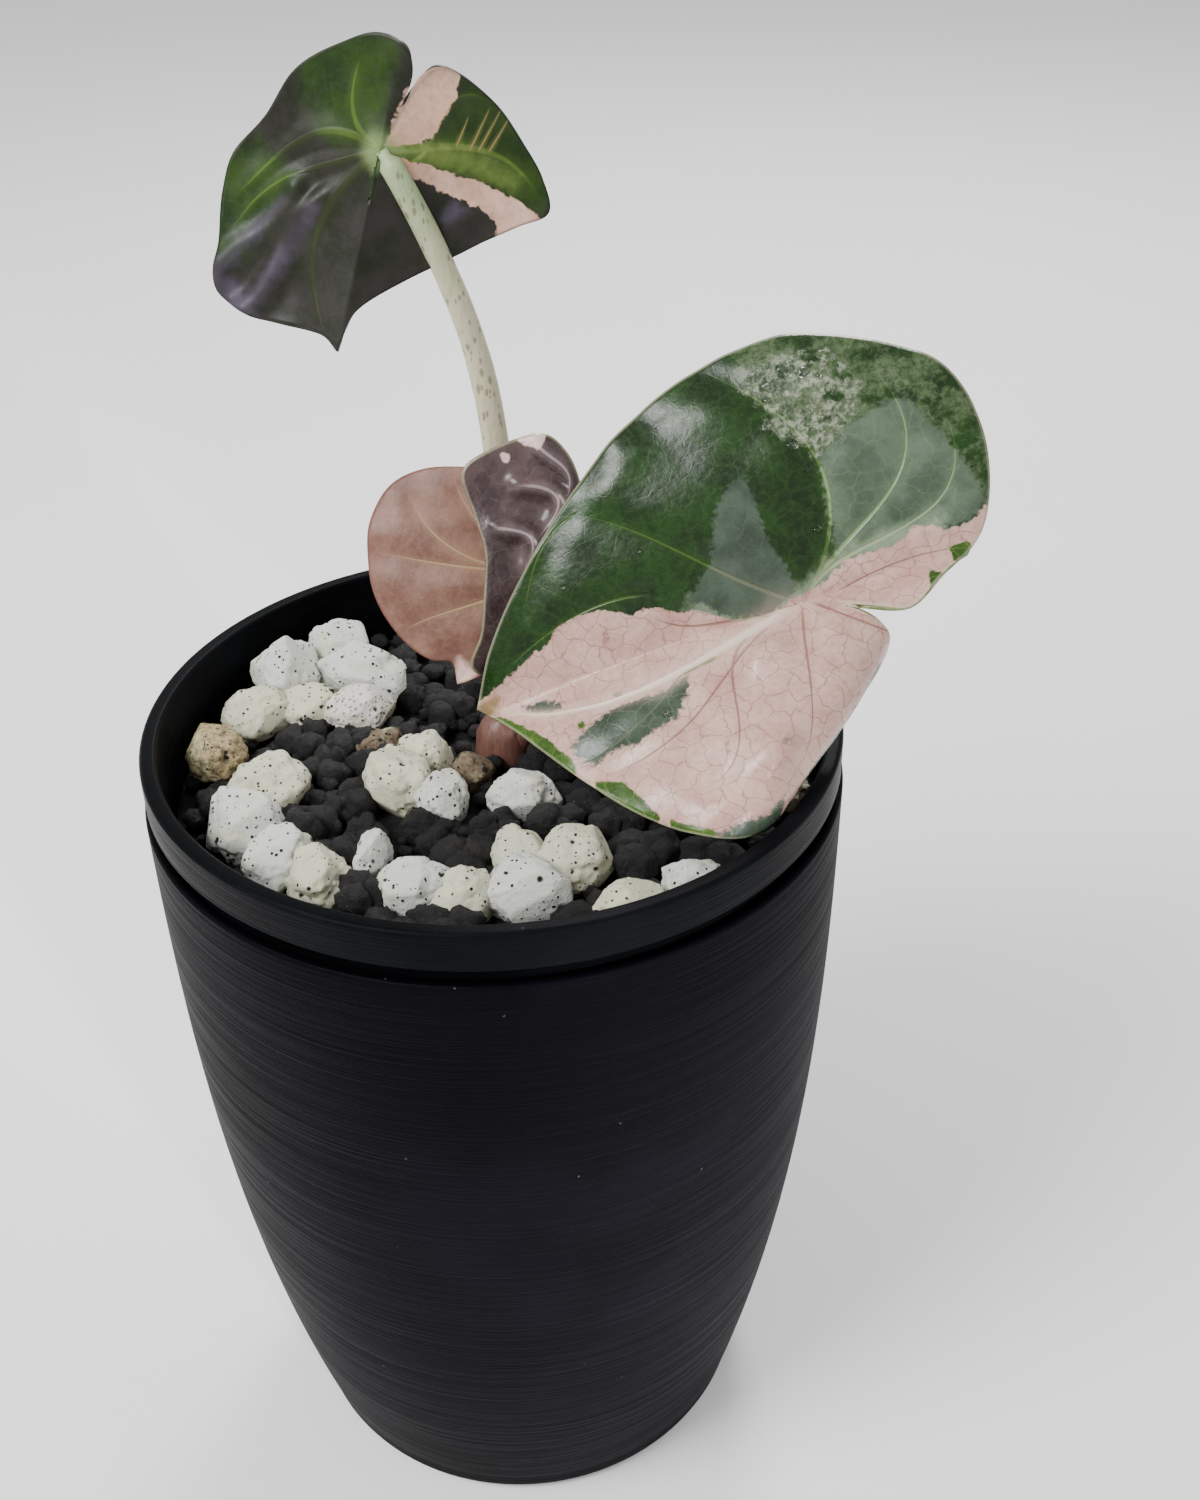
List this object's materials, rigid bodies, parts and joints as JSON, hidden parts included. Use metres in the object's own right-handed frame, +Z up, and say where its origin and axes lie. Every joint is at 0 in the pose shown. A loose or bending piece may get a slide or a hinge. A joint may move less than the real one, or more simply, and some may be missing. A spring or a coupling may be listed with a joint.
{
  "type": "potted balloon heart alocasia",
  "caption": "Small variegated alocasia with heart-shaped leaves on fleshy stalks, in a black inner pot of coarse mix that stands in a tapered black cover pot.",
  "frame": {"origin": "on the pots' axis, in the plane of the cover pot's base", "axes": "+Z up along the pots' axis, -Y towards the front where the large leaf's tip and lower half show, +X towards the large leaf's stalk end"},
  "size_m": [0.1182, 0.1008, 0.2186],
  "materials": {
    "cover_pot": "satin black with fine level lines",
    "inner_pot": "satin black",
    "mix": "rough mineral grains",
    "stone": "rough pale perlite",
    "red_stalk": "fleshy, satin",
    "pale_stalk": "fleshy, satin, speckled",
    "dark_leaf": "leathery",
    "pink_leaf": "leathery, variegated green and pink",
    "dusky_leaf": "velvety"
  },
  "bodies": {
    "root": {"cover_pot": "cover_pot", "inner_pot": "inner_pot", "potting_mix": "mix", "stones_left": "stone", "stones_front_left": "stone", "stones_front": "stone", "stones_middle": "stone", "crown_and_stalks": "red_stalk", "upper_stalk": "pale_stalk", "blade_upper": "dark_leaf", "blade_large": "pink_leaf", "blade_small": "dusky_leaf"}
  },
  "joints": []
}
